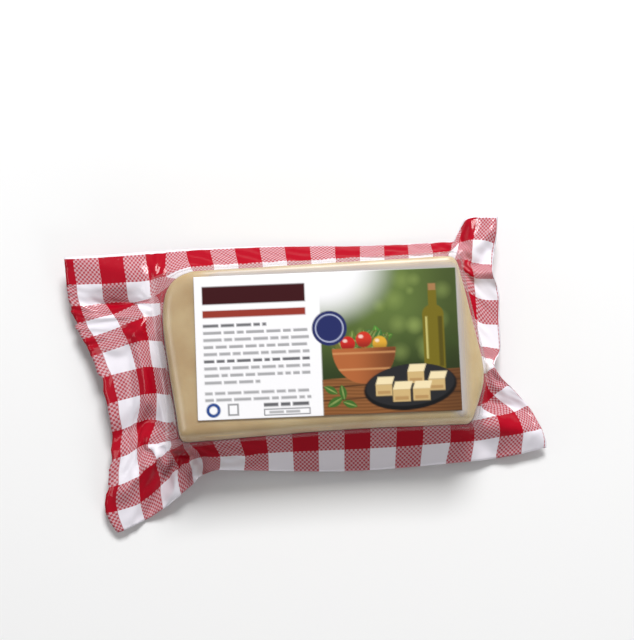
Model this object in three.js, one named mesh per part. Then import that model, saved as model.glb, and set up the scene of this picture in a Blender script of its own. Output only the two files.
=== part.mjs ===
import * as THREE from 'three';

// Sizes are in millimetres. The pack lies on its back with the label up.
const SHEET = 0.4;
const GAP = 0.3;
const BLOCK_HEIGHT = 30;
const BLOCK_FOOT_RADIUS = 5;
const BLOCK_TOP_RADIUS = 3.5;
const BLOCK_TAPER = 0.8;
const FLAT_MARGIN = 1.5;
const SEAL_HEIGHT = 12.5;
const LABEL_LENGTH = 99.6;
const LABEL_WIDTH = 54.5;
const LABEL_TURN = -0.9;
const LABEL_PLACE = [2, -0.8];

// Levels that the pieces are stacked at
const BLOCK_FOOT = SHEET + GAP;
const BLOCK_TOP = BLOCK_FOOT + BLOCK_HEIGHT;
const SHEET_OFFSET = GAP + SHEET / 2;
const LABEL_FOOT = BLOCK_TOP + 2 * GAP + SHEET;

// Corners of the block from above, clockwise, each with the side that follows it:
// place, where the rounding starts, points on the rounding and the side, how softly the side is rounded
const BLOCK_CORNERS = [
  { at: [-59.7, 31.5], cut: 14.5, bendSteps: 16, sideSteps: 24, soft: 1 },
  { at: [53.9, 32], cut: 4, bendSteps: 14, sideSteps: 8, soft: 1.2 },
  { at: [62.8, -15.9], cut: 8, bendSteps: 3, sideSteps: 3, soft: 1.2 },
  { at: [56, -32.7], cut: 2, bendSteps: 12, sideSteps: 8, soft: 1 },
  { at: [8, -32], cut: 20, bendSteps: 6, sideSteps: 8, soft: 1 },
  { at: [-56.5, -33.9], cut: 2.5, bendSteps: 22, sideSteps: 8, soft: 1.3 },
  { at: [-61.2, 9.5], cut: 6, bendSteps: 3, sideSteps: 3, soft: 1.3 },
];

// Free edge of the sealed films, clockwise in runs that each start where the last one ends:
// points in the run, then x, y and height of the places it goes through
const EDGE_RUNS = [
  { steps: 8, through: [[-98.6, 23.5, 7], [-99.3, 41, 9]] },
  { steps: 8, through: [[-76.6, 41.4, 8], [-62, 42, 6.5]] },
  { steps: 24, through: [[-20, 41.7, 5], [25, 39.6, 5], [54.5, 39, 8]] },
  { steps: 8, through: [[56.3, 42.6, 9], [59, 47.5, 9], [72.2, 47.6, 11]] },
  { steps: 6, through: [[70.4, 35.5, 10], [69, 29, 11]] },
  {
    steps: 11,
    through: [
      [67.9, 25.1, 13], [70.6, 18, 10], [70.3, 6.3, 8], [69.7, -5.4, 9], [66.4, -11.5, 13], [69.8, -16.8, 10],
    ],
  },
  { steps: 9, through: [[78.7, -26.2, 7], [84, -36, 5], [86.6, -43.8, 4]] },
  { steps: 6, through: [[74.8, -46.2, 4], [60, -47.7, 5]] },
  { steps: 22, through: [[8.2, -49, 5], [-30.7, -46.5, 6], [-44, -45.6, 9]] },
  { steps: 12, through: [[-49, -47.2, 11], [-54.4, -52, 8], [-64.2, -59, 5], [-83.5, -68.3, 3]] },
  { steps: 10, through: [[-88, -59.9, 4], [-86.2, -47.5, 6]] },
  { steps: 14, through: [[-84.1, -24.2, 9], [-85.9, -14.3, 9], [-90.6, -0.4, 7], [-97, 14, 6]] },
];

// Creases in the sealed edge: from x, y, to x, y, height (negative for a valley) and half width
const CREASES = [
  [-60, 22, -86, 22, -3.5, 6],
  [-69, 14, -69, -17, 3, 7],
  [-67, 13, -80, 4, 2, 4],
  [-60, -22, -84, -31, -3, 6],
  [-58, -32, -80, -52, 3, 5],
  [-57, -34, -72, -62, -3, 5],
  [-55, -36, -60, -54, 3, 4],
  [-53, -36, -48, -46, -3, 4],
  [57, 32, 57, 44, -3, 4],
  [58, 31, 70, 42, 3, 4],
  [60, 25, 68, 25, 2, 4],
  [62, -11, 66, -12, 2, 4],
  [60, -24, 78, -28, -3, 6],
  [58, -32, 82, -38, 3, 6],
  [55, -36, 66, -46, -2.5, 6],
];

// Shares of the way from the block to the free edge at which the film has a row of corners
const CLEAR_RIM = 0.12;
const EDGE_ROWS = [CLEAR_RIM, 0.28, 0.46, 0.64, 0.82, 1];

const LOOK = {
  cheese_block: { color: '#d3c194', roughness: 0.55 },
  printed_film: { color: '#c8142f', roughness: 0.25 },
  clear_film: { color: '#e9e4d2', roughness: 0.1 },
  label: { color: '#e9e8ee', roughness: 0.4 },
};

// The block's corners moved in by a distance, each to where its two moved sides meet
function insetCorners(inset) {
  const count = BLOCK_CORNERS.length;
  const corner = (i) => BLOCK_CORNERS[(i + count) % count];
  const place = (i) => new THREE.Vector2(...corner(i).at);
  return BLOCK_CORNERS.map((_, i) => {
    const before = place(i).sub(place(i - 1)).normalize();
    const after = place(i + 1).sub(place(i)).normalize();
    const turn = before.cross(after);
    const moved = place(i).addScaledVector(after, -inset * corner(i - 1).soft / turn);
    return moved.addScaledVector(before, inset * corner(i).soft / turn);
  });
}

// One turn round the block at a height, from the start of its first corner
function blockRing(inset, height) {
  const places = insetCorners(inset);
  const count = places.length;
  const cutFrom = (i, j) => {
    const distance = Math.max(BLOCK_CORNERS[i].cut - inset / 2, 1);
    return places[j].clone().sub(places[i]).setLength(distance).add(places[i]);
  };
  const ring = BLOCK_CORNERS.flatMap((corner, i) => {
    const next = (i + 1) % count;
    const last = (i + count - 1) % count;
    const bend = new THREE.QuadraticBezierCurve(cutFrom(i, last), places[i], cutFrom(i, next));
    const side = new THREE.LineCurve(cutFrom(i, next), cutFrom(next, i));
    return [
      ...bend.getPoints(corner.bendSteps).slice(0, -1),
      ...side.getPoints(corner.sideSteps).slice(0, -1),
    ];
  });
  return ring.map((point) => new THREE.Vector3(point.x, point.y, height));
}

// The free edge, with one point for each point of a ring round the block
function freeEdge() {
  let start = EDGE_RUNS.at(-1).through.at(-1);
  return EDGE_RUNS.flatMap((run) => {
    const points = [start, ...run.through].map((point) => new THREE.Vector3(...point));
    start = run.through.at(-1);
    const curve = new THREE.CatmullRomCurve3(points, false, 'centripetal');
    return curve.getSpacedPoints(run.steps).slice(0, -1);
  });
}

// Height that the creases add at a point of the sealed edge
function creaseHeight(point) {
  let total = 0;
  for (const [x0, y0, x1, y1, height, width] of CREASES) {
    const line = new THREE.Line3(new THREE.Vector3(x0, y0, 0), new THREE.Vector3(x1, y1, 0));
    const flat = new THREE.Vector3(point.x, point.y, 0);
    const nearest = line.closestPointToPoint(flat, true, new THREE.Vector3());
    total += height * Math.max(0, 1 - nearest.distanceTo(flat) / width);
  }
  return total;
}

// Rows of the sealed edge from the block's side out to the free edge
function edgeRows() {
  const root = blockRing(-SHEET_OFFSET, SEAL_HEIGHT);
  const edge = freeEdge();
  return EDGE_ROWS.map((share) => root.map((from, i) => {
    const point = from.clone().lerp(edge[i], share);
    const crease = creaseHeight(point) * THREE.MathUtils.smoothstep(share, CLEAR_RIM, 0.4);
    point.z = Math.max(point.z + crease, SHEET);
    return point;
  }));
}

// Rings up the rounded foot of the block, moved out by a distance
function footRings(offset) {
  const angles = [0, 30, 60, 90].map(THREE.MathUtils.degToRad);
  const radius = BLOCK_FOOT_RADIUS;
  return angles.map((angle) => {
    const inset = radius - (radius + offset) * Math.sin(angle);
    return blockRing(inset, BLOCK_FOOT + radius - (radius + offset) * Math.cos(angle));
  });
}

// Rings up the rounded front edge of the block, moved out by a distance
function frontRings(offset) {
  const angles = [0, 30, 60, 90].map(THREE.MathUtils.degToRad);
  const radius = BLOCK_TOP_RADIUS;
  return angles.map((angle) => {
    const inset = BLOCK_TAPER + radius - (radius + offset) * Math.cos(angle);
    return blockRing(inset, BLOCK_TOP - radius + (radius + offset) * Math.sin(angle));
  });
}

function middleOf(ring) {
  const sum = ring.reduce((total, point) => total.add(point), new THREE.Vector3());
  return sum.divideScalar(ring.length);
}

// Triangles of a sheet made of rings round a middle point, facing up
function sheetFaces(ringCount, steps) {
  const at = (ring, i) => 1 + ring * steps + (i % steps);
  const faces = [];
  for (let i = 0; i < steps; i += 1) {
    faces.push([0, at(0, i + 1), at(0, i)]);
    for (let ring = 0; ring + 1 < ringCount; ring += 1) {
      faces.push([at(ring, i), at(ring, i + 1), at(ring + 1, i + 1)]);
      faces.push([at(ring, i), at(ring + 1, i + 1), at(ring + 1, i)]);
    }
  }
  return faces;
}

function meshGeometry(points, faces) {
  const geometry = new THREE.BufferGeometry();
  geometry.setFromPoints(points);
  geometry.setIndex(faces.flat());
  geometry.computeVertexNormals();
  return geometry;
}

function normalsOf(points, faces) {
  const normal = meshGeometry(points, faces).getAttribute('normal');
  return points.map((_, i) => new THREE.Vector3().fromBufferAttribute(normal, i));
}

// A sheet of rings, given its thickness half above and half below
function sheetSolid(rings) {
  const steps = rings[0].length;
  const middle = [middleOf(rings[0]), ...rings.flat()];
  const faces = sheetFaces(rings.length, steps);
  const normals = normalsOf(middle, faces);
  const upper = middle.map((point, i) => point.clone().addScaledVector(normals[i], SHEET / 2));
  const lower = middle.map((point, i) => point.clone().addScaledVector(normals[i], -SHEET / 2));
  const under = faces.map(([a, b, c]) => [c + middle.length, b + middle.length, a + middle.length]);
  const first = 1 + (rings.length - 1) * steps;
  const rim = rings[0].flatMap((_, i) => {
    const a = first + i;
    const b = first + ((i + 1) % steps);
    return [[a, b, b + middle.length], [a, b + middle.length, a + middle.length]];
  });
  return meshGeometry([...upper, ...lower], [...faces, ...under, ...rim]);
}

// The cheese: rings stacked from its foot to its front, shut at both ends
function cheeseBlock() {
  const waist = blockRing(0, SEAL_HEIGHT);
  const rings = [...footRings(0), waist, ...frontRings(0)];
  const steps = waist.length;
  const points = [...rings.flat(), middleOf(rings[0]), middleOf(rings.at(-1))];
  const at = (ring, i) => ring * steps + (i % steps);
  const foot = rings.length * steps;
  const faces = [];
  for (let i = 0; i < steps; i += 1) {
    faces.push([foot, at(0, i), at(0, i + 1)]);
    faces.push([foot + 1, at(rings.length - 1, i + 1), at(rings.length - 1, i)]);
    for (let ring = 0; ring + 1 < rings.length; ring += 1) {
      faces.push([at(ring, i), at(ring + 1, i + 1), at(ring, i + 1)]);
      faces.push([at(ring, i), at(ring + 1, i), at(ring + 1, i + 1)]);
    }
  }
  return meshGeometry(points, faces);
}

// The printed back film: a tray with a flat base under the block and the creased sealed edge round it
function printedFilm() {
  const base = blockRing(BLOCK_FOOT_RADIUS + FLAT_MARGIN, SHEET / 2);
  const root = blockRing(-SHEET_OFFSET, SEAL_HEIGHT);
  return sheetSolid([base, ...footRings(SHEET_OFFSET), root, ...edgeRows()]);
}

// The clear front film: a cap over the block with a rim that follows the sealed edge
function clearFilm() {
  const lift = SHEET + GAP;
  const root = blockRing(-SHEET_OFFSET, SEAL_HEIGHT);
  const rows = edgeRows();
  const points = [middleOf(root), ...root, ...rows.flat()];
  const normals = normalsOf(points, sheetFaces(rows.length + 1, root.length));
  const rim = rows[0].map((point, i) => {
    return point.clone().addScaledVector(normals[1 + root.length + i], lift);
  });
  const foot = blockRing(-SHEET_OFFSET, SEAL_HEIGHT + lift);
  const top = blockRing(BLOCK_TAPER + BLOCK_TOP_RADIUS + FLAT_MARGIN, BLOCK_TOP + SHEET_OFFSET);
  return sheetSolid([top, ...frontRings(SHEET_OFFSET).reverse(), foot, rim]);
}

// The label: a plain card on the front of the pack
function label() {
  const geometry = new THREE.BoxGeometry(LABEL_LENGTH, LABEL_WIDTH, SHEET);
  geometry.rotateZ(THREE.MathUtils.degToRad(LABEL_TURN));
  geometry.translate(...LABEL_PLACE, LABEL_FOOT + SHEET / 2);
  return geometry;
}

function piece(name, geometry) {
  const mesh = new THREE.Mesh(geometry, new THREE.MeshStandardMaterial({ metalness: 0, ...LOOK[name] }));
  mesh.name = name;
  return mesh;
}

// The whole pack, with the middle of its box's foot at the origin
const pack = new THREE.Group();
pack.name = 'halloumi_pack';
pack.add(piece('cheese_block', cheeseBlock()));
pack.add(piece('printed_film', printedFilm()));
pack.add(piece('clear_film', clearFilm()));
pack.add(piece('label', label()));

const box = new THREE.Box3().setFromObject(pack, true);
const centre = box.getCenter(new THREE.Vector3());
for (const mesh of pack.children) {
  mesh.geometry.translate(-centre.x, -centre.y, -box.min.z);
}

export default pack;
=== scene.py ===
import math

import bpy
import numpy as np
from mathutils import Matrix, Vector
from mathutils.bvhtree import BVHTree


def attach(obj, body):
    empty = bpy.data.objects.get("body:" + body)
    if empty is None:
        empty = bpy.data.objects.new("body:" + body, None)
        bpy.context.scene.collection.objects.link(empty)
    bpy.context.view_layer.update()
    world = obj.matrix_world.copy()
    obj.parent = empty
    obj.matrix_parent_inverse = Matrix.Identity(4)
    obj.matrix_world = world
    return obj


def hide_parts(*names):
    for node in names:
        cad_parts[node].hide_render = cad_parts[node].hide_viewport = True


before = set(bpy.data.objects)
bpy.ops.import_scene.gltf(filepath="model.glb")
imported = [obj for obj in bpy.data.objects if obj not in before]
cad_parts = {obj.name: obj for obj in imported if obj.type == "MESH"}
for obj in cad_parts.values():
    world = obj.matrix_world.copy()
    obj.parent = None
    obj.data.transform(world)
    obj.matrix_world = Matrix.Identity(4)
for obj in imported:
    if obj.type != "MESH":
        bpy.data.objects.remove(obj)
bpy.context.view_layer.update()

MM = 0.001

# Random draws for the folds of the film and for the label's print
FOLD_RNG = np.random.default_rng(7)
INK_RNG = np.random.default_rng(21)

# Block, in millimetres
BLOCK_FOOT = 0.7
BLOCK_TOP = 30.7
FOOT_RADIUS = 5.0
TOP_RADIUS = 3.5
TAPER = 0.8

# Films: height of the seal line, how far the films stand off the block, thickness and gap of the printed
# film, and the clear film's share of the way from the seal line to the free edge
SEAL_HEIGHT = 12.5
SHEET_OFFSET = 0.5
CLEAR_OFFSET = 0.55
FILM_THICKNESS = 0.15
FILM_GAP = 0.15
RIM = 0.12

# Tray under the block: height of its middle, how far in its flat part starts, and the wall's last ring
TRAY_HEIGHT = 0.2
TRAY_MIDDLE = -0.7
FLAT_MARGIN = 1.5
WALL_RING = 9.5

# Corners of the block, clockwise: x, y, rounding, steps on the rounding, steps on the side after it, how
# soft that side is, then where the corner lies on the flat film and how far its rounding reaches there
CORNERS = np.array([
    (-59.7, 31.5, 14.5, 48, 72, 1.0, 36, 13, 22),
    (53.9, 32.0, 4, 42, 24, 1.2, 176, 13, 17.6),
    (62.8, -15.9, 8, 9, 9, 1.2, 184.5, 79, 8),
    (56.0, -32.7, 2, 36, 24, 1.0, 163.5, 101.5, 4),
    (8.0, -32.0, 20, 18, 24, 1.0, 114.5, 102, 20),
    (-56.5, -33.9, 2.5, 66, 24, 1.3, 34, 101, 20),
    (-61.2, 9.5, 6, 9, 9, 1.3, 33.9, 43, 8),
])
PLACE, ROUNDING, ROUND_STEPS, SIDE_STEPS, SOFTNESS = slice(0, 2), 2, 3, 4, 5
FLAT_PLACE, FLAT_ROUNDING = slice(6, 8), 8
OUTER_CORNERS = [0, 1, 2, 3, 5, 6]
MAIN_CORNERS = [0, 1, 3, 5]

# Free edge, clockwise in runs: steps, then x, y, height and the place on the flat film
EDGE_RUNS = [
    (24, [(-97, 14, 6, 0, 32), (-98.6, 23.5, 7, 0, 20), (-99.3, 41, 9, 0, -0.9)]),
    (24, [(-99.3, 41, 9, 0, -0.9), (-76.6, 41.4, 8, 23, -0.9), (-62, 42, 6.5, 39.5, -0.9)]),
    (72, [(-62, 42, 6.5, 39.5, -0.9), (-52, 42, 6, 53.5, -0.9), (-20, 41.7, 5, 86, -0.9),
          (25, 39.6, 5, 131, -0.9), (54.5, 39, 8, 164, -0.9)]),
    (24, [(54.5, 39, 8, 164, -0.9), (56.3, 42.6, 9, 172, -0.9), (59, 47.5, 9, 175.5, -0.9),
          (72.2, 47.6, 11, 195, -0.9)]),
    (18, [(72.2, 47.6, 11, 195, -0.9), (70.4, 35.5, 10, 195, 11), (69, 29, 11, 195, 20)]),
    (33, [(69, 29, 11, 195, 20), (67.9, 25.1, 13, 195, 26), (70.6, 18, 10, 195, 36.5),
          (70.3, 6.3, 8, 195, 49), (69.7, -5.4, 9, 195, 60.5), (66.4, -11.5, 13, 195, 76),
          (69.8, -16.8, 10, 195, 85)]),
    (27, [(69.8, -16.8, 10, 195, 85), (78.7, -26.2, 7, 195, 97), (84, -36, 5, 195, 108),
          (86.6, -43.8, 4, 195, 118.5)]),
    (18, [(86.6, -43.8, 4, 195, 118.5), (74.8, -46.2, 4, 182.5, 118.5), (60, -47.7, 5, 168, 118.5)]),
    (66, [(60, -47.7, 5, 168, 118.5), (8.2, -49, 5, 115.5, 118.5), (-30.7, -46.5, 6, 76, 118.5),
          (-44, -45.6, 9, 62.5, 118.5)]),
    (36, [(-44, -45.6, 9, 62.5, 118.5), (-49, -47.2, 11, 54, 118.5), (-54.4, -52, 8, 38, 118.5),
          (-64.2, -59, 5, 25, 118.5), (-83.5, -68.3, 3, 0, 118.5)]),
    (30, [(-83.5, -68.3, 3, 0, 118.5), (-88, -59.9, 4, 0, 110), (-86.2, -47.5, 6, 0, 97.5)]),
    (42, [(-86.2, -47.5, 6, 0, 97.5), (-84.1, -24.2, 9, 0, 76), (-85.9, -14.3, 9, 0, 67),
          (-90.6, -0.4, 7, 0, 52.5), (-97, 14, 6, 0, 32)]),
]

# First and last corner of the flat film, and the place of the block's middle on it
FLAT_LOW = (0.0, -0.9)
FLAT_HIGH = (195.0, 118.5)
BASE_SHIFT = (108.5, 56.3)

# Corners of the gingham squares: place across and down the flat film, then the pixel in the photo
SQUARES = [
    (0, 10, 64, 285), (3.5, 10, 75, 284.5), (13.5, 10, 101, 284), (23.5, 10, 126, 281.5),
    (33.5, 10, 150, 280), (43.5, 10, 164.5, 277), (13.5, 18, 101, 299), (23.5, 16, 126, 298),
    (33.5, 16, 150, 299),
    (0, 20, 69, 306), (3.5, 20, 79.5, 306), (13.5, 20, 103, 301), (0, 30, 76, 322), (3.5, 30, 84.5, 320),
    (13.5, 30, 112, 312.5), (23.5, 30, 136, 302.5), (0, 40, 81, 338), (3.5, 40, 93, 334.5),
    (13.5, 40, 120, 326.5), (23.5, 40, 146, 316), (33.5, 40, 160, 312), (0, 50, 91, 355),
    (3.5, 50, 102, 351), (13.5, 50, 130, 342), (23.5, 50, 149, 340), (33.5, 50, 161, 340),
    (0, 60, 103, 377), (3.5, 60, 112, 374), (13.5, 60, 137.5, 368.5), (23.5, 60, 153, 367),
    (33.5, 60, 166, 366), (0, 70, 107, 404), (3.5, 70, 119.5, 400.5), (13.5, 70, 142.5, 395.5),
    (23.5, 70, 158, 392), (33.5, 70, 170, 390), (0, 80, 112, 431), (3.5, 80, 124, 429),
    (13.5, 80, 136.5, 421.5), (23.5, 80, 155, 419), (33.5, 80, 174, 417), (0, 90, 112.5, 459),
    (3.5, 90, 123, 457), (13.5, 90, 137, 447), (23.5, 90, 148.5, 444), (33.5, 90, 168, 441),
    (0, 100, 110, 487), (3.5, 100, 121, 484.5),
    (13.5, 100, 141, 475), (23.5, 100, 158, 458), (33.5, 100, 171, 450), (3.5, 110, 119, 510),
    (13.5, 110, 140, 502), (23.5, 110, 160, 485), (33.5, 110, 179, 466), (43.5, 110, 191, 461),
    (53.5, 110, 203, 457), (63.5, 110, 222, 457), (73.5, 110, 247.5, 456),
    (153.5, 110, 451, 442), (163.5, 110, 475, 440), (173.5, 110, 500, 436), (183.5, 110, 524, 432.5),
    (193.5, 110, 541, 427), (173.5, 100, 497.5, 415), (183.5, 100, 516, 410.5), (193.5, 100, 530, 403),
    (173.5, 90, 482, 404), (183.5, 90, 494, 394), (193.5, 90, 508, 384), (183.5, 80, 484, 371),
    (193.5, 80, 493, 366), (193.5, 70, 493, 359.5), (183.5, 60, 480, 350.5), (193.5, 60, 500, 349),
    (183.5, 50, 478, 324), (193.5, 50, 500, 324), (183.5, 40, 477, 298.5), (193.5, 40, 500, 299),
    (183.5, 30, 476, 279), (193.5, 30, 497, 279), (183.5, 20, 472, 261), (193.5, 20, 492, 265),
    (173.5, 10, 461, 239), (183.5, 10, 473.5, 239), (193.5, 10, 496, 242),
]

# Creases in the sealed edge: from x, y, to x, y, height (negative for a valley) and half width
CREASES = [
    (-60, 22, -86, 22, -3.5, 6), (-69, 14, -69, -17, 3, 7), (-67, 13, -80, 4, 2, 4),
    (-60, -22, -84, -31, -3, 6), (-58, -32, -80, -52, 3, 5), (-57, -34, -72, -62, -3, 5),
    (-55, -36, -60, -54, 3, 4), (-53, -36, -48, -46, -3, 4), (57, 32, 57, 44, -3, 4),
    (58, 31, 70, 42, 3, 4), (60, 25, 68, 25, 2, 4), (62, -11, 66, -12, 2, 4),
    (60, -24, 78, -28, -3, 6), (58, -32, 82, -38, 3, 6), (55, -36, 66, -46, -2.5, 6),
]

# Gingham: side of a square, shift of the columns, end of the print and side of a cell in the fine check
SQUARE = 10.0
COLUMN_SHIFT = 6.5
PRINT_END = 194
DOT = SQUARE / 12
FILM_WHITE = (240, 236, 244)
FILM_RED = (174, 0, 30)

# Laying of the film: steps of the grid and of the edge's curves, rings of the welded edge, and how many
# points of the edge and the seal line are passed over between two that place the squares
GRID_STEP = 1.0
CURVE_STEPS = 400
EDGE_RINGS = 25
PLACING_STEP = 5

# How much the placing of the squares is eased, the furthest that the tray's film lies from its net, the
# share of the way out where creases are full, and the lowest level of the rings
PLACING_EASE = 0.5
TRAY_REACH = 0.05
FULL_CREASE = 0.4
RING_LOW = 0.6

# Relaxing of the film: rounds, then rounds that even it out and how far each goes, height of the first
# folds, limits of a length against its place, pull back to the place and more of it at the free edge,
# lowest and highest levels, and gap kept to the block
ROUNDS = 140
EVENING = 4
EVENING_SHARE = 0.5
FIRST_FOLDS = 0.1
TIGHT, LEAST_SLACK, MOST_SLACK = 0.96, 0.98, 1.2
HOLD, EDGE_HOLD = 0.01, 0.4
TRAY_LOW, EDGE_LOW, EDGE_HIGH = 0.1, 0.5, 19
BLOCK_GAP = 0.7

# Where the film is more crumpled: place on the flat film, reach and extra length
CRUMPLES = [
    (26, 98, 22, 0.2), (38, 106, 14, 0.18), (180, 88, 14, 0.12), (183, 18, 10, 0.08), (24, 22, 16, 0.07),
]

# Cheese: size of its even mesh, swelling, and the size and strength of its unevenness
CHEESE_VOXEL = 0.9
CHEESE_SWELL = 0.15
CHEESE_WAVES = (("waves", 0.014, 0.35), ("grain", 0.003, 0.1))

# Rings of the clear film: angles round the front's edge, then height, distance from the block and more
# distance at the corners, then share of the rim and lift above the printed film
CLEAR_ANGLES = (80, 65, 50, 35, 20, 5)
CLEAR_WALL = ((24, 0.5, 0.2), (20.5, 0.5, 0.6), (17.5, 0.6, 1.2), (15.2, 0.8, 1.8))
CLEAR_RIM = ((0.5, 0.9), (0.8, 0.45), (1.0, 0.3))
CORNER_REACH = 16

# Label, in millimetres: size, place, turn in degrees, level, step of its mesh, thickness and gap
LABEL_SIZE = (99.6, 54.5)
LABEL_PLACE = (2.0, -0.8)
LABEL_TURN = -0.9
LABEL_HEIGHT = 31.5
LABEL_STEP = 0.36
LABEL_THICKNESS = 0.15
LABEL_GAP = 0.2

# Print of the label: left side of its picture, and the colours that come back
PICTURE_LEFT = 47.5
PAPER = (247, 246, 248)
SMALL_PRINT = (70, 70, 76)
BADGE = (34, 42, 98)
OIL = (116, 104, 24)

# Width of the band of clear film along the label, partly the film's haze and partly painted grey shade
HAZE_AND_SHADE_BAND = 5.0

# Camera, from the photo: height angle, turn, distance and millimetres to a pixel
CAMERA_ELEVATION = 84.0
CAMERA_TURN = 3.2
CAMERA_DISTANCE = 650.0
PIXEL_SIZE = 0.39
IMAGE_SIZE = (634, 640)
BLOCK_PIXEL = (321.7, 346.2)

# Middle of the block in the part's frame
ORIGIN = np.array([6.35, 10.64, 0.0])


def linear(r, g, b):
    """A colour given as 0 to 255 in the photo, as light."""
    c = np.array([r, g, b]) / 255
    return tuple(np.where(c <= 0.04045, c / 12.92, ((c + 0.055) / 1.055) ** 2.4))


def turned(a, b, angle):
    """A place seen from axes that are turned by an angle in degrees."""
    c, s = math.cos(math.radians(angle)), math.sin(math.radians(angle))
    return a * c + b * s, b * c - a * s


def mesh_object(name, points, faces):
    """A smooth mesh from points in millimetres about the block's middle."""
    mesh = bpy.data.meshes.new(name)
    world = (np.asarray(points, float) + ORIGIN) * MM
    mesh.from_pydata(world.tolist(), [], [list(map(int, f)) for f in faces])
    mesh.shade_smooth()
    obj = bpy.data.objects.new(name, mesh)
    bpy.context.collection.objects.link(obj)
    return obj


def dress(obj, node, material):
    """Gives a piece its material, attaches it to the root body and hides the node of the part that it
    replaces.
    """
    obj.data.materials.clear()
    obj.data.materials.append(material)
    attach(obj, "root")
    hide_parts(node)


def new_material(name):
    """A new material with its nodes, links and main shader."""
    material = bpy.data.materials.new(name)
    material.use_nodes = True
    nodes = material.node_tree.nodes
    return material, nodes, material.node_tree.links, nodes["Principled BSDF"]


class Maths:
    """Short way to add Math nodes to a material."""

    def __init__(self, tree):
        self.tree = tree

    def __call__(self, operation, *values):
        node = self.tree.nodes.new("ShaderNodeMath")
        node.operation = operation
        for socket, value in zip(node.inputs, values):
            if isinstance(value, (int, float)):
                socket.default_value = value
            else:
                self.tree.links.new(value, socket)
        return node.outputs[0]


# Rings round the block

def moved_corners(places, softness, inset):
    """Corners moved in, each to where its two moved sides meet."""
    before = places - np.roll(places, 1, 0)
    before /= np.linalg.norm(before, axis=1)[:, None]
    after = np.roll(before, -1, 0)
    turn = (before[:, 0] * after[:, 1] - before[:, 1] * after[:, 0])[:, None]
    last = np.roll(softness, 1)[:, None]
    return places - after * inset * last / turn + before * inset * softness[:, None] / turn


def ring(places, cuts):
    """One turn round the corners, with each corner's and side's own number of points."""
    points = []
    count = len(places)
    for i in range(count):
        here, before, after = places[i], places[i - 1], places[(i + 1) % count]
        start = here + (before - here) * cuts[i] / np.linalg.norm(before - here)
        end = here + (after - here) * cuts[i] / np.linalg.norm(after - here)
        far = after + (here - after) * cuts[(i + 1) % count] / np.linalg.norm(here - after)
        t = np.arange(CORNERS[i, ROUND_STEPS])[:, None] / CORNERS[i, ROUND_STEPS]
        points.append((1 - t) ** 2 * start + 2 * t * (1 - t) * here + t**2 * end)
        t = np.arange(CORNERS[i, SIDE_STEPS])[:, None] / CORNERS[i, SIDE_STEPS]
        points.append(end + (far - end) * t)
    return np.vstack(points)


def block_ring(inset, height):
    """The block's outline moved in, or out where the inset is negative, at one height."""
    softness = CORNERS[:, SOFTNESS] if inset > 0 else np.ones(len(CORNERS))
    places = moved_corners(CORNERS[:, PLACE], softness, inset)
    cuts = np.maximum(CORNERS[:, ROUNDING] - inset / 2, 1)
    flat = ring(places, cuts)
    return np.column_stack([flat, np.full(len(flat), float(height))])


def seal_line():
    """The ring round the block where the films meet."""
    return block_ring(-SHEET_OFFSET, SEAL_HEIGHT)


def flat_seal_line():
    """Where the seal line lies on the flat film."""
    return ring(CORNERS[:, FLAT_PLACE], CORNERS[:, FLAT_ROUNDING])


def smooth_run(steps, points):
    """Evenly spaced points on a smooth curve through the places of one run."""
    p = np.array(points, float)
    gap = np.linalg.norm(np.diff(p[:, :3], axis=0), axis=1)
    slope = np.diff(p, axis=0) / gap[:, None]
    tangent = np.vstack([slope[:1], (slope[:-1] * gap[1:, None] + slope[1:] * gap[:-1, None])
                         / (gap[1:] + gap[:-1])[:, None], slope[-1:]])
    at = np.concatenate([[0], np.cumsum(gap)])
    s = np.linspace(0, at[-1], CURVE_STEPS)
    i = np.clip(np.searchsorted(at, s, "right") - 1, 0, len(gap) - 1)
    t = ((s - at[i]) / gap[i])[:, None]
    h = gap[i][:, None]
    curve = ((2 * t**3 - 3 * t**2 + 1) * p[i] + (t**3 - 2 * t**2 + t) * h * tangent[i]
             + (3 * t**2 - 2 * t**3) * p[i + 1] + (t**3 - t**2) * h * tangent[i + 1])
    curve[:, 3:] = p[i, 3:] * (1 - t) + p[i + 1, 3:] * t
    along = np.concatenate([[0], np.cumsum(np.linalg.norm(np.diff(curve[:, :3], axis=0), axis=1))])
    wanted = np.linspace(0, along[-1], steps + 1)[:-1]
    return np.column_stack([np.interp(wanted, along, curve[:, k]) for k in range(5)])


def free_edge():
    """Points on the free edge of the film: x, y, height and the place on the flat film."""
    return np.vstack([smooth_run(*run) for run in EDGE_RUNS])


def crease_height(points):
    """How far the creases lift or lower each point."""
    total = np.zeros(len(points))
    for x0, y0, x1, y1, height, width in CREASES:
        a, b = np.array([x0, y0]), np.array([x1, y1])
        t = np.clip((points[:, :2] - a) @ (b - a) / ((b - a) @ (b - a)), 0, 1)
        away = np.linalg.norm(points[:, :2] - a - t[:, None] * (b - a), axis=1)
        total += height * np.maximum(0, 1 - away / width)
    return total


def smoothstep(x, a, b):
    """0 at a, 1 at b and a soft change between them."""
    t = np.clip((x - a) / (b - a), 0, 1)
    return t * t * (3 - 2 * t)


# The printed film

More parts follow.
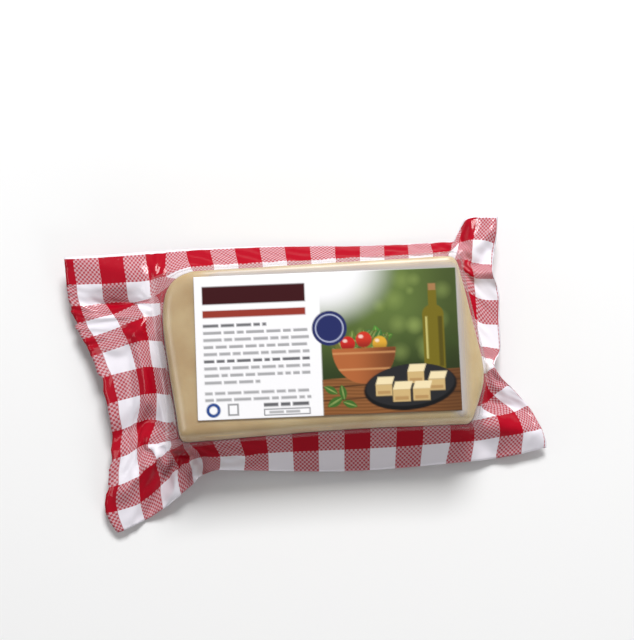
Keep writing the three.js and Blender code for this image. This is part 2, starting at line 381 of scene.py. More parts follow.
def tray_rings():
    """Rings of the film from under the block up to the seal line, in space and on the flat film."""
    root, flat = seal_line(), flat_seal_line()
    base = block_ring(FOOT_RADIUS + FLAT_MARGIN, TRAY_HEIGHT)
    middle = np.array([0, TRAY_MIDDLE, TRAY_HEIGHT])
    base_flat = np.column_stack([base[:, 0] + BASE_SHIFT[0], BASE_SHIFT[1] - base[:, 1]])
    middle_flat = np.array([BASE_SHIFT[0], BASE_SHIFT[1] - TRAY_MIDDLE])
    rings = [middle + (base - middle) * share for share in (0, 0.35, 0.7, 1)]
    flats = [middle_flat + (base_flat - middle_flat) * share for share in (0, 0.35, 0.7, 1)]
    reach = FOOT_RADIUS + SHEET_OFFSET
    for angle, share in zip(np.radians([0, 20, 40, 60, 75, 90]), np.linspace(0.15, 0.65, 6)):
        rings.append(block_ring(FOOT_RADIUS - reach * math.sin(angle),
                                BLOCK_FOOT + FOOT_RADIUS - reach * math.cos(angle)))
        flats.append(base_flat + (flat - base_flat) * share)
    rings += [block_ring(-SHEET_OFFSET, WALL_RING), root]
    flats += [base_flat + (flat - base_flat) * 0.82, flat]
    return np.array(rings), np.array(flats)


def edge_rings(edge):
    """Rings of the welded edge from the seal line to the free edge, and their shares of the way out."""
    root = seal_line()
    rings = []
    shares = np.linspace(0, 1, EDGE_RINGS)
    for share in shares:
        points = root + (edge[:, :3] - root) * share
        points[:, 2] += crease_height(points) * smoothstep(share, RIM, FULL_CREASE)
        points[:, 2] = np.maximum(points[:, 2], RING_LOW)
        rings.append(points)
    return np.array(rings), shares


def ring_faces(count, steps):
    """Triangles between rings that have the same number of points."""
    faces = []
    for r in range(count - 1):
        for i in range(steps):
            j = (i + 1) % steps
            a, b, c, d = r * steps + i, r * steps + j, (r + 1) * steps + j, (r + 1) * steps + i
            faces += [(a, b, c), (a, c, d)]
    return faces


def barycentric(p, a, b, c):
    """Weights of a triangle's corners at a place."""
    m = np.array([b - a, c - a]).T
    det = m[0, 0] * m[1, 1] - m[0, 1] * m[1, 0]
    if abs(det) < 1e-9:
        return np.array([1.0, 0, 0])
    d = p - a
    s = (d[0] * m[1, 1] - d[1] * m[0, 1]) / det
    t = (m[0, 0] * d[1] - m[1, 0] * d[0]) / det
    return np.array([1 - s - t, s, t])


class Lookup:
    """Finds where a flat place lies in a net of triangles, and reads values from its corners."""

    def __init__(self, flat, faces):
        self.flat, self.faces = flat, faces
        self.tree = BVHTree.FromPolygons([(x, y, 0) for x, y in flat], faces)

    def at(self, x, y):
        spot, _, face, away = self.tree.find_nearest((x, y, 0))
        corners = list(self.faces[face])
        return corners, barycentric(np.array(spot)[:2], *self.flat[corners]), away


def pixel_place(x, y):
    """Where a pixel of the photo lies on the level of the seal, from the block's middle."""
    right, up = (x - BLOCK_PIXEL[0]) * PIXEL_SIZE, (BLOCK_PIXEL[1] - y) * PIXEL_SIZE
    return turned(right, up, CAMERA_TURN)


def spread(places, values, wanted):
    """Values between scattered places, by radial basis functions."""
    def reach(a, b):
        return np.linalg.norm(a[:, None] - b[None], axis=2)

    count = len(places)
    plane = np.column_stack([np.ones(count), places])
    system = np.zeros((count + 3, count + 3))
    system[:count, :count] = -reach(places, places) + np.eye(count) * PLACING_EASE
    system[:count, count:] = plane
    system[count:, :count] = plane.T
    weights = np.linalg.solve(system, np.vstack([values, np.zeros((3, values.shape[1]))]))
    wanted_plane = np.column_stack([np.ones(len(wanted)), wanted])
    return wanted_plane @ weights[count:] - reach(wanted, places) @ weights[:count]


def laid_edge(flat, edge):
    """Where places on the flat film lie round the block, from the squares, the edge and the seal line."""
    squares = np.array(SQUARES, float)
    some_edge = edge[::PLACING_STEP]
    root = seal_line()[::PLACING_STEP, :2]
    places = np.vstack([squares[:, :2], some_edge[:, 3:], flat_seal_line()[::PLACING_STEP]])
    values = np.vstack([[pixel_place(x, y) for x, y in squares[:, 2:]], some_edge[:, :2], root])
    return spread(places, values, flat)


def film_grid():
    """The flat film cut into a grid, each point laid in its place, with its share of the way out."""
    edge = free_edge()
    tray, tray_flat = tray_rings()
    tray_points = tray.reshape(-1, 3)
    inside = Lookup(tray_flat.reshape(-1, 2), ring_faces(*tray.shape[:2]))
    rim, shares = edge_rings(edge)
    rim_points = rim.reshape(-1, 3)
    rim_share = np.repeat(shares, rim.shape[1])
    outside = Lookup(rim_points[:, :2], ring_faces(*rim.shape[:2]))
    sides = zip(FLAT_LOW, FLAT_HIGH)
    columns, rows = [np.linspace(low, high, round((high - low) / GRID_STEP) + 1) for low, high in sides]
    uv = np.stack(np.meshgrid(columns, rows), -1)
    flat = uv.reshape(-1, 2)
    places = laid_edge(flat, edge)
    placed = np.zeros((len(flat), 3))
    share = np.zeros(len(flat))
    for i in range(len(flat)):
        corners, weights, away = inside.at(*flat[i])
        placed[i] = weights @ tray_points[corners]
        if away > TRAY_REACH:
            corners, weights, away = outside.at(*places[i])
            placed[i] = weights @ rim_points[corners]
            share[i] = weights @ rim_share[corners]
    return uv, placed.reshape(*uv.shape[:2], 3), share.reshape(uv.shape[:2])


def grid_links():
    """Pairs of grid slices held at a distance: sides, diagonals and, more softly, every second point."""
    e, o = slice(None, -1), slice(1, None)
    links = []
    for k in (0, 1):
        links.append(((slice(None), slice(k, -1, 2)), (slice(None), slice(k + 1, None, 2)), 1.0))
        links.append(((slice(k, -1, 2), slice(None)), (slice(k + 1, None, 2), slice(None)), 1.0))
        links.append(((slice(k, -1, 2), e), (slice(k + 1, None, 2), o), 0.8))
        links.append(((slice(k, -1, 2), o), (slice(k + 1, None, 2), e), 0.8))
    for k in range(4):
        links.append(((slice(None), slice(k, -2, 4)), (slice(None), slice(k + 2, None, 4)), 0.2))
        links.append(((slice(k, -2, 4), slice(None)), (slice(k + 2, None, 4), slice(None)), 0.2))
    return links


def same_size(a, b):
    """Two slices of the grid, cut to the size that they share."""
    rows, columns = min(a.shape[0], b.shape[0]), min(a.shape[1], b.shape[1])
    return a[:rows, :columns], b[:rows, :columns]


def keep_off_block(p, free):
    """Moves points that are inside the wrapped block out through its nearest side."""
    corners = CORNERS[OUTER_CORNERS, PLACE]
    side = np.roll(corners, -1, 0) - corners
    out = np.column_stack([-side[:, 1], side[:, 0]]) / np.linalg.norm(side, axis=1)[:, None]
    away = np.stack([(p[..., :2] - c) @ n for c, n in zip(corners, out)], -1)
    nearest = away.argmax(-1)
    depth = np.maximum(BLOCK_GAP - away.max(-1), 0) * free * (p[..., 2] > EDGE_LOW)
    p[..., :2] += out[nearest] * depth[..., None]


def crumpled(flat):
    """How much longer the film is than its place, round each crumple."""
    extra = np.ones(flat.shape[:2])
    for u, v, reach, more in CRUMPLES:
        extra += more * np.clip(1 - np.hypot(flat[..., 0] - u, flat[..., 1] - v) / reach, 0, 1)
    return extra


def relaxed_film(uv, placed, share):
    """Lets the film spread to its flat lengths, so that what is too long for its place folds up."""
    p = placed.copy()
    free = (share > RIM).astype(float)
    p[..., 2] += FOLD_RNG.normal(0, FIRST_FOLDS, free.shape) * free
    edge = np.zeros_like(free)
    edge[[0, -1], :] = 1
    edge[:, [0, -1]] = 1
    links = []
    for first, second, strength in grid_links():
        a, b = same_size(placed[first], placed[second])
        fa, fb = same_size(uv[first], uv[second])
        shown = np.linalg.norm(a - b, axis=-1)
        cut = TIGHT * np.linalg.norm(fa - fb, axis=-1)
        rest = np.clip(cut, LEAST_SLACK * shown, MOST_SLACK * shown) * crumpled((fa + fb) / 2)
        wa, wb = same_size(free[first], free[second])
        total = np.maximum(wa + wb, 1e-6)
        links.append((first, second, rest, strength * wa / total, strength * wb / total))
    for _ in range(ROUNDS):
        for first, second, rest, wa, wb in links:
            rows, columns = rest.shape
            a, b = p[first][:rows, :columns], p[second][:rows, :columns]
            gap = b - a
            length = np.linalg.norm(gap, axis=-1)
            move = gap * ((length - rest) / np.maximum(length, 1e-6))[..., None]
            a += move * wa[..., None]
            b -= move * wb[..., None]
        p[..., :2] += (placed - p)[..., :2] * (free * (HOLD + EDGE_HOLD * edge))[..., None]
        p[..., 2] += (placed - p)[..., 2] * free * HOLD
        keep_off_block(p, free)
        p[..., 2] = np.clip(p[..., 2], np.where(free > 0, EDGE_LOW, TRAY_LOW), EDGE_HIGH)
    for _ in range(EVENING):
        rows_beside = np.roll(p, -1, 0) + np.roll(p, 1, 0)
        columns_beside = np.roll(p, -1, 1) + np.roll(p, 1, 1)
        even = (rows_beside + columns_beside) / 4
        p += (even - p) * (EVENING_SHARE * free * (1 - edge))[..., None]
    return p


def film_material():
    """Gingham: red where a red row crosses a red column, a fine check where only one is red."""
    material, nodes, links, shader = new_material("gingham_film")
    maths = Maths(material.node_tree)
    place = nodes.new("ShaderNodeUVMap")
    place.uv_map = "flat"
    split = nodes.new("ShaderNodeSeparateXYZ")
    links.new(place.outputs[0], split.inputs[0])
    u = maths("MULTIPLY", split.outputs[0], FLAT_HIGH[0])
    v = maths("MULTIPLY", split.outputs[1], FLAT_HIGH[0])
    printed = maths("MULTIPLY", maths("GREATER_THAN", v, 0), maths("LESS_THAN", u, PRINT_END))
    across = maths("DIVIDE", maths("ADD", u, COLUMN_SHIFT), SQUARE)
    column = maths("LESS_THAN", maths("MODULO", across, 2), 1)
    row = maths("LESS_THAN", maths("MODULO", maths("DIVIDE", v, SQUARE), 2), 1)
    cells = maths("ADD", maths("FLOOR", maths("DIVIDE", u, DOT)), maths("FLOOR", maths("DIVIDE", v, DOT)))
    dots = maths("MULTIPLY_ADD", maths("LESS_THAN", maths("MODULO", cells, 2), 1), 0.38, 0.54)
    both = maths("MULTIPLY", column, row)
    either = maths("MAXIMUM", column, row)
    red = maths("MULTIPLY", printed, maths("MAXIMUM", both, maths("MULTIPLY", either, dots)))
    mix = nodes.new("ShaderNodeMix")
    mix.data_type = "RGBA"
    mix.inputs["A"].default_value = (*linear(*FILM_WHITE), 1)
    mix.inputs["B"].default_value = (*linear(*FILM_RED), 1)
    links.new(red, mix.inputs["Factor"])
    links.new(mix.outputs["Result"], shader.inputs["Base Color"])
    shader.inputs["Roughness"].default_value = 0.5
    shader.inputs["Specular IOR Level"].default_value = 0.05
    shader.inputs["Coat Weight"].default_value = 0.35
    shader.inputs["Coat Roughness"].default_value = 0.1
    coords = nodes.new("ShaderNodeTexCoord")
    dents = nodes.new("ShaderNodeTexNoise")
    dents.inputs["Scale"].default_value = 170
    links.new(coords.outputs["Object"], dents.inputs["Vector"])
    bump = nodes.new("ShaderNodeBump")
    bump.inputs["Strength"].default_value = 0.4
    bump.inputs["Distance"].default_value = 0.001
    links.new(dents.outputs["Fac"], bump.inputs["Height"])
    links.new(bump.outputs[0], shader.inputs["Coat Normal"])
    return material


def grid_faces(rows, columns):
    """Faces of a grid of points."""
    index = np.arange(rows * columns).reshape(rows, columns)
    a, b, c, d = index[:-1, :-1], index[:-1, 1:], index[1:, 1:], index[1:, :-1]
    return np.stack([a, d, c, b], -1).reshape(-1, 4)


def thicken(obj, thickness):
    """Gives a sheet its thickness, on the side away from its front."""
    solidify = obj.modifiers.new("thickness", "SOLIDIFY")
    solidify.thickness = thickness * MM
    solidify.offset = -1


def keep_outside(obj, other, gap):
    """Pushes what lies inside another piece out to a gap from it."""
    wrap = obj.modifiers.new("outside", "SHRINKWRAP")
    wrap.target = other
    wrap.wrap_mode = "OUTSIDE"
    wrap.offset = gap * MM


def printed_film(block):
    """The film round the lower half of the block, pulled clear of it, with its creased edge."""
    uv, placed, share = film_grid()
    p = relaxed_film(uv, placed, share)
    rows, columns = share.shape
    obj = mesh_object("gingham_back_film", p.reshape(-1, 3), grid_faces(rows, columns))
    layer = obj.data.uv_layers.new(name="flat")
    loops = np.zeros(len(obj.data.loops), np.int32)
    obj.data.loops.foreach_get("vertex_index", loops)
    flat = uv.reshape(-1, 2)[loops] / FLAT_HIGH[0]
    layer.data.foreach_set("uv", flat.ravel())
    keep_outside(obj, block, FILM_GAP)
    thicken(obj, FILM_THICKNESS)
    dress(obj, "printed_film", film_material())


# The cheese

def cheese_material():
    """Cream with soft mottling, paler towards the right end as painted light, and a few small pits as
    painted shade.
    """
    material, nodes, links, shader = new_material("halloumi")
    maths = Maths(material.node_tree)
    coords = nodes.new("ShaderNodeTexCoord")
    mottle = nodes.new("ShaderNodeTexNoise")
    mottle.inputs["Scale"].default_value = 60
    mottle.inputs["Detail"].default_value = 5
    links.new(coords.outputs["Object"], mottle.inputs["Vector"])
    split = nodes.new("ShaderNodeSeparateXYZ")
    links.new(coords.outputs["Object"], split.inputs[0])
    # Painted light: the colour grows paler towards the right end, the lit end, on top of the cheese's own
    # soft mottling
    lit_right_end_and_mottle = maths("MULTIPLY_ADD", split.outputs[0], 2.2, mottle.outputs["Fac"])
    ramp = nodes.new("ShaderNodeValToRGB")
    ramp.color_ramp.elements[0].position = 0.25
    ramp.color_ramp.elements[0].color = (*linear(190, 160, 112), 1)
    ramp.color_ramp.elements[1].position = 0.78
    ramp.color_ramp.elements[1].color = (*linear(214, 193, 147), 1)
    links.new(lit_right_end_and_mottle, ramp.inputs[0])
    # Painted shade: small darker spots stand for the shade inside small pits of the cheese
    pit_shade_cells = nodes.new("ShaderNodeTexVoronoi")
    pit_shade_cells.inputs["Scale"].default_value = 75
    links.new(coords.outputs["Object"], pit_shade_cells.inputs["Vector"])
    pit_shade = maths("LESS_THAN", pit_shade_cells.outputs["Distance"], 0.045)
    mix = nodes.new("ShaderNodeMix")
    mix.data_type = "RGBA"
    mix.inputs["B"].default_value = (*linear(172, 144, 100), 1)
    links.new(pit_shade, mix.inputs["Factor"])
    links.new(ramp.outputs[0], mix.inputs["A"])
    links.new(mix.outputs["Result"], shader.inputs["Base Color"])
    shader.inputs["Roughness"].default_value = 0.55
    shader.inputs["Specular IOR Level"].default_value = 0.3
    shader.inputs["Subsurface Weight"].default_value = 0.6
    shader.inputs["Subsurface Radius"].default_value = (1.0, 0.85, 0.65)
    shader.inputs["Subsurface Scale"].default_value = 0.003
    return material


def clouds(name, size):
    """A soft noise for the unevenness of the cheese."""
    texture = bpy.data.textures.new(name, "CLOUDS")
    texture.noise_scale = size
    texture.noise_depth = 2
    return texture


def cheese():
    """The block of cheese, from the part's own solid with softer and uneven sides."""
    obj = bpy.data.objects.new("halloumi_block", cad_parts["cheese_block"].data.copy())
    bpy.context.collection.objects.link(obj)
    obj.matrix_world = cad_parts["cheese_block"].matrix_world.copy()
    remesh = obj.modifiers.new("even_mesh", "REMESH")
    remesh.mode = "VOXEL"
    remesh.voxel_size = CHEESE_VOXEL * MM
    remesh.use_smooth_shade = True
    soften = obj.modifiers.new("soft_edges", "SMOOTH")
    soften.iterations = 6
    swell = obj.modifiers.new("swell", "DISPLACE")
    swell.strength = CHEESE_SWELL * MM
    swell.mid_level = 0
    for name, size, strength in CHEESE_WAVES:
        displace = obj.modifiers.new(name, "DISPLACE")
        displace.texture = clouds(name, size)
        displace.texture_coords = "LOCAL"
        displace.strength = strength * MM
        displace.mid_level = 0.7
    dress(obj, "cheese_block", cheese_material())
    return obj


# The clear film

def rising(maths, value, start, length):
    """0 up to a start, then rising to 1 over a length, both in millimetres."""
    past = maths("SUBTRACT", value, start * MM)
    return maths("MINIMUM", maths("MAXIMUM", maths("MULTIPLY", past, 1 / (length * MM)), 0), 1)


def label_edge_haze_and_shade(nodes, links, maths):
    """1 along the label's upper and right edges, where the film stands off a little, to 0 further out; a
    band of haze and painted grey shade.
    """
    place = nodes.new("ShaderNodeTexCoord").outputs["Object"]
    turn = math.radians(LABEL_TURN)
    middle = ORIGIN[:2] + LABEL_PLACE
    sides = ((math.cos(turn), math.sin(turn)), (-math.sin(turn), math.cos(turn)))
    past_edge = []
    for side, size in zip(sides, LABEL_SIZE):
        along = nodes.new("ShaderNodeVectorMath")
        along.operation = "DOT_PRODUCT"
        along.inputs[1].default_value = (*side, 0)
        links.new(place, along.inputs[0])
        edge = (np.dot(side, middle) + size / 2) * MM
        past_edge.append(maths("SUBTRACT", along.outputs["Value"], float(edge)))
    away = maths("MULTIPLY", maths("MAXIMUM", *past_edge), 1 / (HAZE_AND_SHADE_BAND * MM))
    near = maths("POWER", maths("MAXIMUM", maths("SUBTRACT", 1, maths("ABSOLUTE", away)), 0), 1.5)
    split = nodes.new("ShaderNodeSeparateXYZ")
    links.new(place, split.inputs[0])
    on_front = rising(maths, split.outputs["Z"], BLOCK_TOP - 1.5, 2)
    begun = rising(maths, past_edge[0], 2 - LABEL_SIZE[0], 8)
    return maths("MULTIPLY", maths("MULTIPLY", near, on_front), begun)


def clear_material():
    """Clear film: mostly see-through, hazier where it is seen at a slant, with a limited mirror and a
    band of haze with painted grey shade along the label's edges.
    """
    material, nodes, links, shader = new_material("clear_film")
    nodes.remove(shader)
    maths = Maths(material.node_tree)
    clear = nodes.new("ShaderNodeBsdfTransparent")
    clear.inputs["Color"].default_value = (0.98, 0.98, 0.98, 1)
    haze = nodes.new("ShaderNodeBsdfDiffuse")
    haze.inputs["Color"].default_value = (0.62, 0.6, 0.64, 1)
    shine = nodes.new("ShaderNodeBsdfGlossy")
    shine.inputs["Roughness"].default_value = 0.3
    edge = nodes.new("ShaderNodeFresnel")
    edge.inputs["IOR"].default_value = 1.5
    limit = maths("MINIMUM", edge.outputs[0], 0.08)
    slant = nodes.new("ShaderNodeLayerWeight")
    slanted = maths("POWER", slant.outputs["Facing"], 3)
    film = nodes.new("ShaderNodeMixShader")
    hazy = maths("MULTIPLY_ADD", slanted, 0.12, 0.05)
    # Painted shade: the haze is mixed in more strongly along the label's upper and right edges, greying
    # its margins
    links.new(maths("MULTIPLY_ADD", label_edge_haze_and_shade(nodes, links, maths), 0.6, hazy), film.inputs[0])
    links.new(clear.outputs[0], film.inputs[1])
    links.new(haze.outputs[0], film.inputs[2])
    mix = nodes.new("ShaderNodeMixShader")
    links.new(limit, mix.inputs[0])
    links.new(film.outputs[0], mix.inputs[1])
    links.new(shine.outputs[0], mix.inputs[2])
    links.new(mix.outputs[0], nodes["Material Output"].inputs["Surface"])
    return material


def corner_pull(points):
    """How near each point is to one of the block's four main corners, from 0 to 1."""
    corners = CORNERS[MAIN_CORNERS, PLACE]
    away = np.linalg.norm(points[:, None, :2] - corners, axis=2).min(1)
    return np.clip(1 - away / CORNER_REACH, 0, 1)


def clear_film():
    """The clear film: tight on the front, pleated at the corners, with a rim on the printed film."""
    edge = free_edge()[:, :3]
    root = seal_line()
    pull = corner_pull(root)[:, None]
    steps = len(root)
    turn = np.arange(steps)
    pleats = pull[:, 0] * (np.sin(turn * 1.1) + 0.6 * np.sin(turn * 0.47 + 1))
    waves = 0.12 * np.sin(turn * 0.19) + 0.1 * np.sin(turn * 0.083 + 2)
    rings = [block_ring(TAPER + TOP_RADIUS + inset, BLOCK_TOP + CLEAR_OFFSET) for inset in (5, 1.5)]
    reach = TOP_RADIUS + CLEAR_OFFSET
    for angle in np.radians(CLEAR_ANGLES):
        inset = TAPER + TOP_RADIUS - reach * math.cos(angle)
        rings.append(block_ring(inset, BLOCK_TOP - TOP_RADIUS + reach * math.sin(angle)))
    outward = edge[:, :2] - root[:, :2]
    outward /= np.linalg.norm(outward, axis=1)[:, None]
    for height, out, more in CLEAR_WALL:
        points = block_ring(-out, height)
        points[:, :2] += outward * (pull[:, 0] * more + np.abs(0.2 * pleats + waves))[:, None]
        rings.append(points)
    for share, lift in CLEAR_RIM:
        points = root + (edge - root) * (RIM * share + 0.08 * share * pull)
        points[:, 2] += lift + 0.2 * np.abs(pleats) * (1 - share)
        rings.append(points)
    points = np.vstack([np.mean(rings[0], 0)[None], *rings])
    faces = []
    for i in range(steps):
        j = (i + 1) % steps
        faces.append((0, 1 + j, 1 + i))
        for r in range(len(rings) - 1):
            a, b = 1 + r * steps, 1 + (r + 1) * steps
            faces.append((a + i, a + j, b + j, b + i))
    obj = mesh_object("clear_front_film", points, faces)
    dress(obj, "clear_film", clear_material())
    return obj


# The label

def paint(colours, mask, colour):
    """Lays a colour over the label as strongly as the mask says."""
    colours += (np.array(linear(*colour)) - colours) * mask[:, None]


def disc(p, q, x, y, wide, tall, turn=0.0):
    """Mask of an oval with two half widths."""
    a, b = turned(p - x, q - y, turn)
    near = 1 - np.sqrt((a / wide) ** 2 + (b / tall) ** 2)
    return np.clip(near * min(wide, tall) / LABEL_STEP + 0.5, 0, 1)


def leaf(p, q, x, y, length, wide, turn):
    """Mask of a leaf that is pointed at both ends."""
    a, b = turned(p - x, q - y, turn)
    half = wide / 2 * (1 - (2 * a / length) ** 2)
    return np.clip((half - np.abs(b)) / LABEL_STEP + 0.5, 0, 1) * (np.abs(a) < length / 2)


def bar(p, q, x0, y0, x1, y1):
    """Mask of a rectangle."""
    across = np.minimum(p - x0, x1 - p)
    up = np.minimum(q - y0, y1 - q)
    return np.clip(np.minimum(across, up) / LABEL_STEP + 0.5, 0, 1)


def words(p, q, x, y, width, height):
    """A line of short bars with gaps, in place of a line of small print."""
    mask = np.zeros(len(p))
    end = x + width
    while x < end - 1:
        length = min(INK_RNG.uniform(2, 7), end - x)
        mask = np.maximum(mask, bar(p, q, x, y, x + length, y + height))
        x += length + 0.9
    return mask


def paint_words(colours, p, q):
    """Plain bars where the label has its headings, small print and marks."""
    paint(colours, bar(p, q, 3, 43.7, 42, 50.6), (58, 4, 12))
    paint(colours, bar(p, q, 3, 38.6, 42, 41.4), (150, 52, 40))
    for k, width in enumerate((24, 40, 40, 40, 40, 40, 40, 40, 21)):
        shade = 0.9 if k in (0, 5) else 0.62
        paint(colours, words(p, q, 3, 35 - 2.7 * k, width, 1.15) * shade, SMALL_PRINT)
    for k in range(2):
        paint(colours, words(p, q, 3, 9.4 - 2.5 * k, 40, 1.1) * 0.62, SMALL_PRINT)
    paint(colours, words(p, q, 25, 4.3, 17.5, 1.4) * 0.9, (60, 60, 66))
    paint(colours, disc(p, q, 6, 3.6, 2.7, 2.7), (38, 72, 140))
    paint(colours, disc(p, q, 6, 3.6, 1.5, 1.5), PAPER)
    paint(colours, bar(p, q, 11.5, 1.4, 15.5, 5.8), (90, 90, 96))
    paint(colours, bar(p, q, 12, 1.9, 15, 5.3), PAPER)
    paint(colours, bar(p, q, 25, 0.9, 42.5, 3.5), (110, 110, 116))
    paint(colours, bar(p, q, 25.4, 1.3, 42.1, 3.1), PAPER)
    paint(colours, words(p, q, 27, 1.7, 13, 0.9) * 0.6, SMALL_PRINT)


def paint_garden(colours, p, q, field):
    """Out of focus greenery behind the still life, fading to white at the upper left."""
    paint(colours, field, (96, 116, 56))
    paint(colours, field * smoothstep(q, 42, 12), (44, 58, 26))
    paint(colours, field * smoothstep(p, 76, 99) * 0.6, (40, 48, 22))
    for _ in range(26):
        x, y, r = INK_RNG.uniform(50, 98), INK_RNG.uniform(22, 53), INK_RNG.uniform(1.5, 4)
        soft = np.clip(1.2 - np.hypot(p - x, q - y) / r, 0, 1)
        paint(colours, field * soft * 0.35, (150, 168, 92) if INK_RNG.random() < 0.6 else (60, 80, 34))
    away = np.hypot((p - 49) / 30, (q - 56) / 25)
    paint(colours, (field > 0) * smoothstep(away, 1.0, 0.35), PAPER)


def paint_table(colours, p, q, field):
    """Wooden boards along the bottom of the picture."""
    far = 13.5 + 0.05 * (p - PICTURE_LEFT)
    wood = field * np.clip((far - q) / LABEL_STEP + 0.5, 0, 1)
    paint(colours, wood, (146, 94, 52))
    paint(colours, wood * (0.35 + 0.35 * np.sin(q * 5 + 1.3 * np.sin(p * 0.22))), (108, 64, 32))
    for seam in (4.2, 9.1):
        paint(colours, wood * np.clip(1 - np.abs(q - seam - 0.03 * p) / 0.4, 0, 1), (52, 30, 16))
    paint(colours, wood * smoothstep(p, 70, 99) * 0.5, (48, 30, 18))


def paint_ball(colours, p, q, x, y, r, colour):
    """A round fruit, darker below and with a light spot."""
    shape = disc(p, q, x, y, r, r)
    paint(colours, shape, colour)
    paint(colours, shape * smoothstep(q, y + 0.4 * r, y - r) * 0.55, (50, 14, 10))
    paint(colours, disc(p, q, x - 0.35 * r, y + 0.4 * r, 0.3 * r, 0.22 * r) * 0.7, (250, 236, 222))


def paint_leaf(colours, p, q, x, y, length, turn, colour):
    """A leaf with a pale rib."""
    paint(colours, leaf(p, q, x, y, length, 0.48 * length, turn), colour)
    paint(colours, leaf(p, q, x, y, 0.9 * length, 0.07 * length, turn) * 0.6, (186, 200, 120))


def paint_bowl(colours, p, q):
    """A clay bowl of leaves and small tomatoes."""
    for _ in range(34):
        x, y = INK_RNG.uniform(53, 73), INK_RNG.uniform(24, 30)
        green = (INK_RNG.uniform(50, 110), INK_RNG.uniform(92, 144), INK_RNG.uniform(30, 58))
        paint_leaf(colours, p, q, x, y, INK_RNG.uniform(4.5, 8), INK_RNG.uniform(20, 160), green)
    paint_ball(colours, p, q, 57.5, 26.8, 2.8, (200, 36, 30))
    paint_ball(colours, p, q, 63.6, 28.2, 3.0, (206, 52, 34))
    paint_ball(colours, p, q, 69.6, 26.6, 2.7, (222, 168, 52))
    body = disc(p, q, 63.5, 25, 12, 13.5) * np.clip((25 - q) / LABEL_STEP + 0.5, 0, 1)
    paint(colours, body, (176, 100, 54))
    paint(colours, body * smoothstep(p, 58, 76) * 0.75, (82, 42, 22))
    for low in (23.2, 17):
        paint(colours, body * np.clip(1 - np.abs(q - low) / 0.6, 0, 1) * 0.8, (216, 156, 102))


def paint_cubes(colours, p, q):
    """Cubes of cheese on a slate."""
    paint(colours, disc(p, q, 80.5, 9.6, 17.6, 8.6, 5), (16, 16, 18))
    paint(colours, disc(p, q, 80.5, 10.4, 16.8, 7.8, 5), (38, 38, 41))
    cubes = ((79.6, 11, 6.2), (67.4, 6.6, 6.2), (87.4, 8, 6.2), (73.8, 4.2, 6.6), (81.4, 4.4, 6.4))
    for x, y, side in cubes:
        paint(colours, bar(p, q, x, y, x + side, y + 0.7 * side), (206, 176, 120))
        slant = p - 0.35 * (q - y - 0.7 * side)
        paint(colours, bar(slant, q, x, y + 0.7 * side, x + side, y + 1.15 * side), (240, 222, 178))
        paint(colours, bar(p, q, x + 0.7, y + 0.6, x + side - 0.7, y + 0.3 * side) * 0.5, (150, 96, 44))


def paint_bottle(colours, p, q):
    """A bottle of oil."""
    for box in ((86.2, 16, 94.2, 37), (88.6, 36, 91.8, 46)):
        paint(colours, bar(p, q, *box), OIL)
    paint(colours, disc(p, q, 90.2, 37, 4, 3.6), OIL)
    paint(colours, bar(p, q, 88.8, 46, 91.6, 48.6), (164, 120, 76))
    paint(colours, bar(p, q, 92, 17, 93.6, 36) * 0.6, (52, 46, 10))
    paint(colours, bar(p, q, 87.2, 20, 88, 36) * 0.7, (216, 208, 128))


def paint_picture(colours, p, q):
    """A still life of simple shapes on the right of the label."""
    field = bar(p, q, PICTURE_LEFT, 0, *LABEL_SIZE)
    paint_garden(colours, p, q, field)
    paint_table(colours, p, q, field)
    paint_bottle(colours, p, q)
    paint_bowl(colours, p, q)
    paint_cubes(colours, p, q)
    for x, y, length, turn in ((52, 5, 7, 30), (55, 8.5, 6, 100), (50.5, 9.5, 6, 150), (57.5, 4, 6, -20)):
        paint_leaf(colours, p, q, x, y, length, turn, (62, 104, 40))
    for radius, colour in ((6.6, BADGE), (5.4, (196, 202, 226)), (5.0, BADGE)):
        paint(colours, disc(p, q, 50.8, 33, radius, radius), colour)


def label_colours(p, q):
    """Colours of the label's points, which lie p across and q up from its lower left corner."""
    colours = np.tile(np.array(linear(*PAPER)), (len(p), 1))
    paint_words(colours, p, q)
    paint_picture(colours, p, q)
    return colours


def label_material():
    """Paper in the colours of the label's points."""
    material, nodes, links, shader = new_material("printed_label")
    ink = nodes.new("ShaderNodeVertexColor")
    ink.layer_name = "ink"
    links.new(ink.outputs["Color"], shader.inputs["Base Color"])
    shader.inputs["Roughness"].default_value = 0.4
    shader.inputs["Specular IOR Level"].default_value = 0.2
    return material


def lay_on(obj, other, gap):
    """Let a flat piece follow the surface that it lies on, a gap above it."""
    wrap = obj.modifiers.new("lie", "SHRINKWRAP")
    wrap.target = other
    wrap.wrap_method = "PROJECT"
    wrap.wrap_mode = "ABOVE_SURFACE"
    wrap.use_project_z = True
    wrap.use_negative_direction = True
    wrap.use_positive_direction = False
    wrap.project_limit = 5 * MM
    wrap.offset = gap * MM


def label(front):
    """The label, lying on the clear film."""
    columns = round(LABEL_SIZE[0] / LABEL_STEP) + 1
    rows = round(LABEL_SIZE[1] / LABEL_STEP) + 1
    p, q = np.meshgrid(np.linspace(0, LABEL_SIZE[0], columns), np.linspace(LABEL_SIZE[1], 0, rows))
    p, q = p.ravel(), q.ravel()
    x, y = turned(p - LABEL_SIZE[0] / 2, q - LABEL_SIZE[1] / 2, -LABEL_TURN)
    points = np.column_stack([LABEL_PLACE[0] + x, LABEL_PLACE[1] + y, np.full(len(p), LABEL_HEIGHT)])
    obj = mesh_object("front_label", points, grid_faces(rows, columns))
    ink = obj.data.color_attributes.new("ink", "FLOAT_COLOR", "POINT")
    ink.data.foreach_set("color", np.column_stack([label_colours(p, q), np.ones(len(p))]).ravel())
    lay_on(obj, front, LABEL_GAP)
    thicken(obj, LABEL_THICKNESS)
    dress(obj, "label", label_material())


# Floor, lights and camera

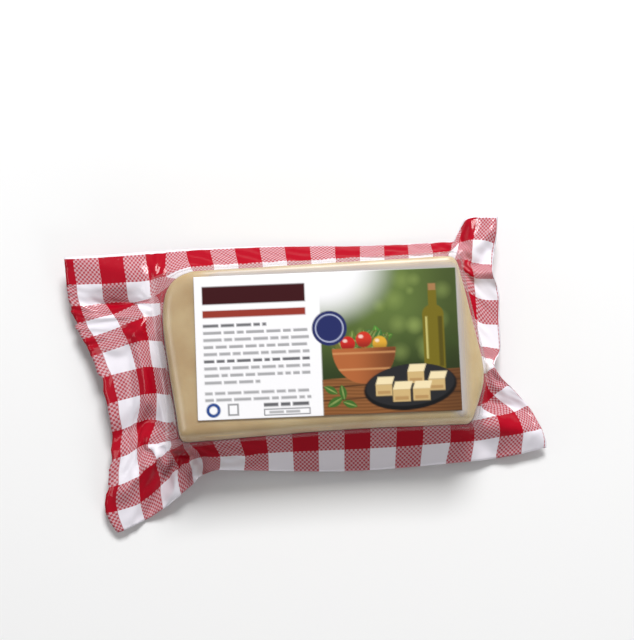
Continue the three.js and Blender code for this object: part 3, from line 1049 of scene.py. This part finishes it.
def aim(obj, place, target, up):
    """Puts a light or camera in its place, looking at a target."""
    forward = (Vector(target) - Vector(place)).normalized()
    right = forward.cross(Vector(up)).normalized()
    rise = right.cross(forward)
    turn = Matrix((right, rise, -forward)).transposed().to_4x4()
    obj.matrix_world = Matrix.Translation(place) @ turn


def floor():
    """A wide pale floor."""
    half = 3
    corners = [(-half, -half, 0), (half, -half, 0), (half, half, 0), (-half, half, 0)]
    mesh = bpy.data.meshes.new("floor")
    mesh.from_pydata(corners, [], [(0, 1, 2, 3)])
    obj = bpy.data.objects.new("floor", mesh)
    bpy.context.collection.objects.link(obj)
    material, _, _, shader = new_material("floor")
    shader.inputs["Base Color"].default_value = (0.9, 0.9, 0.9, 1)
    shader.inputs["Roughness"].default_value = 0.9
    mesh.materials.append(material)


def softbox(name, place, size, power):
    """A rectangular light that looks at the pack, with its place and size in metres."""
    data = bpy.data.lights.new(name, "AREA")
    data.shape = "RECTANGLE"
    data.size, data.size_y = size
    data.energy = power
    obj = bpy.data.objects.new(name, data)
    bpy.context.collection.objects.link(obj)
    aim(obj, place, (0, 0, 0.01), (0, 1, 0.01))
    return obj


def lights():
    """A window behind the pack, two weak fills, a light that gives only sheen, and the sky."""
    softbox("window", (0.2, 1.02, 1.08), (0.55, 0.45), 22)
    left = softbox("left_fill", (-0.95, 0.15, 0.55), (0.35, 0.35), 0.5)
    front = softbox("front_fill", (0.75, -0.95, 0.55), (0.5, 0.35), 2.6)
    for fill in (left, front):
        fill.visible_glossy = False
    sheen = softbox("sheen", (-0.9, 0.1, 0.9), (0.6, 0.7), 6)
    sheen.visible_diffuse = False
    world = bpy.data.worlds.new("studio")
    world.use_nodes = True
    world.node_tree.nodes["Background"].inputs["Color"].default_value = (1, 1, 1, 1)
    world.node_tree.nodes["Background"].inputs["Strength"].default_value = 0.3
    bpy.context.scene.world = world
    bpy.context.scene.view_settings.view_transform = "Standard"


def camera():
    """The photo's view, almost from straight above."""
    turn, rise = math.radians(CAMERA_TURN), math.radians(CAMERA_ELEVATION)
    right = np.array([math.cos(turn), -math.sin(turn), 0])
    ahead = np.array([math.sin(turn), math.cos(turn), 0])
    middle = ORIGIN + np.array([0, 0, SEAL_HEIGHT])
    across = (IMAGE_SIZE[0] / 2 - BLOCK_PIXEL[0]) * PIXEL_SIZE
    up = (BLOCK_PIXEL[1] - IMAGE_SIZE[1] / 2) * PIXEL_SIZE
    target = middle + right * across + ahead * up
    forward = ahead * math.cos(rise) - np.array([0, 0, math.sin(rise)])
    place = target - forward * CAMERA_DISTANCE
    data = bpy.data.cameras.new("camera")
    data.angle = 2 * math.atan(IMAGE_SIZE[1] / 2 * PIXEL_SIZE / CAMERA_DISTANCE)
    data.clip_start = 0.01
    obj = bpy.data.objects.new("camera", data)
    bpy.context.collection.objects.link(obj)
    aim(obj, place * MM, target * MM, ahead)
    bpy.context.scene.camera = obj


printed_film(cheese())
label(clear_film())
floor()
lights()
camera()

bpy.context.view_layer.update()
